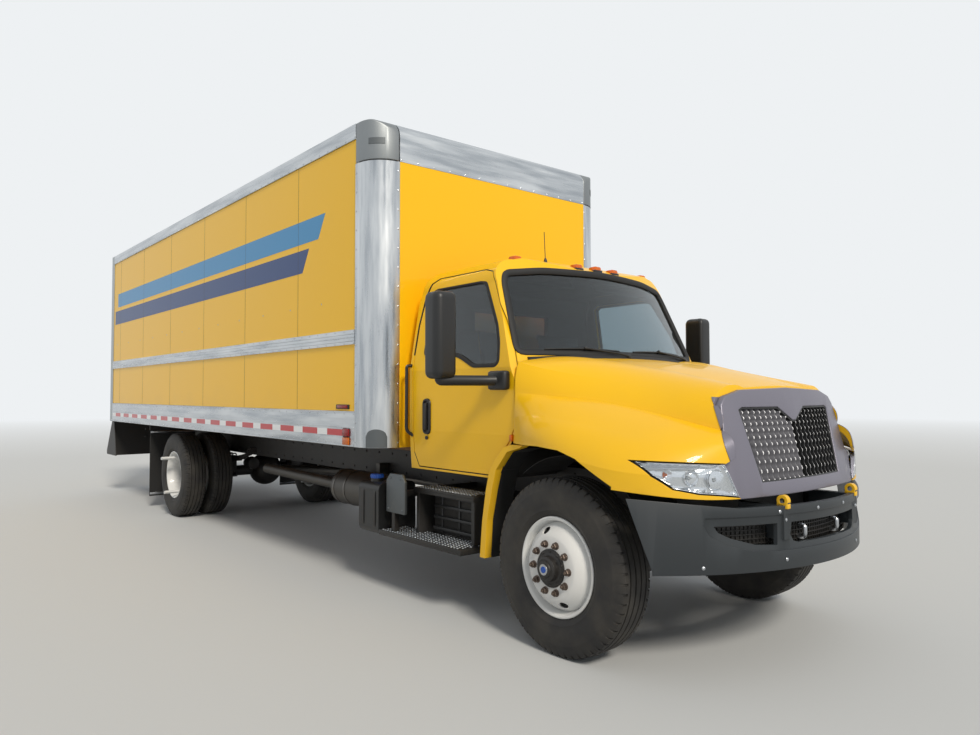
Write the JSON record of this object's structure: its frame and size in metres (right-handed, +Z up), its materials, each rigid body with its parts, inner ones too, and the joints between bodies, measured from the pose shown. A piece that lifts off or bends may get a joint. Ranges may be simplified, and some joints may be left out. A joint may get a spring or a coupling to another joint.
{
  "type": "box truck",
  "caption": "Bonneted box truck with tilting hood, steered front wheels, twin rear wheels and a tall round-cornered cargo box.",
  "frame": {"origin": "on the floor under the middle of the truck's box, midway between its front and rear ends", "axes": "+X forward, +Y to the truck's left, +Z up"},
  "size_m": [11.18, 3.01, 3.7148],
  "materials": {
    "chassis_paint": "satin black chassis paint",
    "cast_iron": "rough cast",
    "spring_steel": "matt black",
    "bare_steel": "dull bare steel",
    "radiator_core": "finned core",
    "tyre": "matt rubber",
    "wheel_enamel": "gloss white enamel",
    "cab_enamel": "gloss yellow enamel",
    "window_glass": "clear",
    "black_moulding": "grained black",
    "grey_moulding": "grained grey",
    "seat_vinyl": "grey vinyl and cloth",
    "polished_aluminium": "polished",
    "cast_aluminium": "as cast",
    "roof_sheet": "white",
    "mill_aluminium": "mill finish",
    "galvanised_steel": "galvanised",
    "door_laminate": "white",
    "floor_planks": "oak planks",
    "flap_rubber": "matt",
    "tread_plate": "tread plate",
    "silver_moulding": "silver grey",
    "lamp_glass": "clear lens over chrome",
    "lamp_lens": "amber and red lens"
  },
  "bodies": {
    "chassis": {"frame_rails": "chassis_paint", "front_axle": "cast_iron", "leaf_springs": "spring_steel", "rear_axle": "cast_iron", "driveshaft": "bare_steel", "engine_block": "cast_iron", "radiator": "radiator_core", "cab_shell": "cab_enamel", "cab_glass": "window_glass", "dashboard": "grey_moulding", "steering_wheel": "black_moulding", "seats": "seat_vinyl", "corner_posts": "polished_aluminium", "corner_caps": "cast_aluminium", "front_wall": "cab_enamel", "roof_panel": "roof_sheet", "side_walls": "cab_enamel", "body_rails": "mill_aluminium", "rear_portal": "galvanised_steel", "roll_door": "door_laminate", "cargo_floor": "floor_planks", "rear_bumper": "chassis_paint", "mudflaps": "flap_rubber", "cab_steps": "tread_plate", "fluid_tank": "black_moulding", "fuel_tank": "mill_aluminium", "exhaust": "bare_steel", "front_bumper": "black_moulding", "body_lamps": "lamp_lens"},
    "hood": {"hood": "cab_enamel", "grille": "silver_moulding", "grille_surround": "silver_moulding", "headlamps": "lamp_glass"},
    "door_right": {"door_right": "cab_enamel", "door_glass_right": "window_glass", "mirror_right": "black_moulding"},
    "door_left": {"door_left": "cab_enamel", "door_glass_left": "window_glass", "mirror_left": "black_moulding"},
    "knuckle_right": {"knuckle_right": "cast_iron"},
    "knuckle_left": {"knuckle_left": "cast_iron"},
    "wheel_front_right": {"front_tyre_right": "tyre", "front_rim_right": "wheel_enamel"},
    "wheel_front_left": {"front_tyre_left": "tyre", "front_rim_left": "wheel_enamel"},
    "wheel_rear_right": {"rear_tyres_right": "tyre", "rear_rims_right": "wheel_enamel"},
    "wheel_rear_left": {"rear_tyres_left": "tyre", "rear_rims_left": "wheel_enamel"}
  },
  "joints": [
    {"name": "steer_right", "type": "hinge", "parent": "chassis", "child": "knuckle_right", "pos_m": [4.46, -0.82, 0.527], "axis": [0, 0, 1], "range_deg": [-35, 35]},
    {"name": "steer_left", "type": "hinge", "parent": "chassis", "child": "knuckle_left", "pos_m": [4.46, 0.82, 0.527], "axis": [0, 0, 1], "range_deg": [-35, 35]},
    {"name": "front_spin_right", "type": "hinge", "parent": "knuckle_right", "child": "wheel_front_right", "pos_m": [4.46, -0.985, 0.527], "axis": [0, 1, 0], "continuous": true},
    {"name": "front_spin_left", "type": "hinge", "parent": "knuckle_left", "child": "wheel_front_left", "pos_m": [4.46, 0.985, 0.527], "axis": [0, 1, 0], "continuous": true},
    {"name": "rear_spin_right", "type": "hinge", "parent": "chassis", "child": "wheel_rear_right", "pos_m": [-2.3, -0.93, 0.527], "axis": [0, 1, 0], "continuous": true},
    {"name": "rear_spin_left", "type": "hinge", "parent": "chassis", "child": "wheel_rear_left", "pos_m": [-2.3, 0.93, 0.527], "axis": [0, 1, 0], "continuous": true},
    {"name": "door_hinge_right", "type": "hinge", "parent": "chassis", "child": "door_right", "pos_m": [4.02, -1.038, 1.4], "axis": [0, 0, 1], "range_deg": [0, 70]},
    {"name": "door_hinge_left", "type": "hinge", "parent": "chassis", "child": "door_left", "pos_m": [4.02, 1.038, 1.4], "axis": [0, 0, -1], "range_deg": [0, 70]},
    {"name": "hood_tilt", "type": "hinge", "parent": "chassis", "child": "hood", "pos_m": [5.46, 0, 0.968], "axis": [0, 1, 0], "range_deg": [0, 70]}
  ],
  "couplings": [
    {"joint": "steer_left", "follows": "steer_right", "ratio": 1}
  ]
}
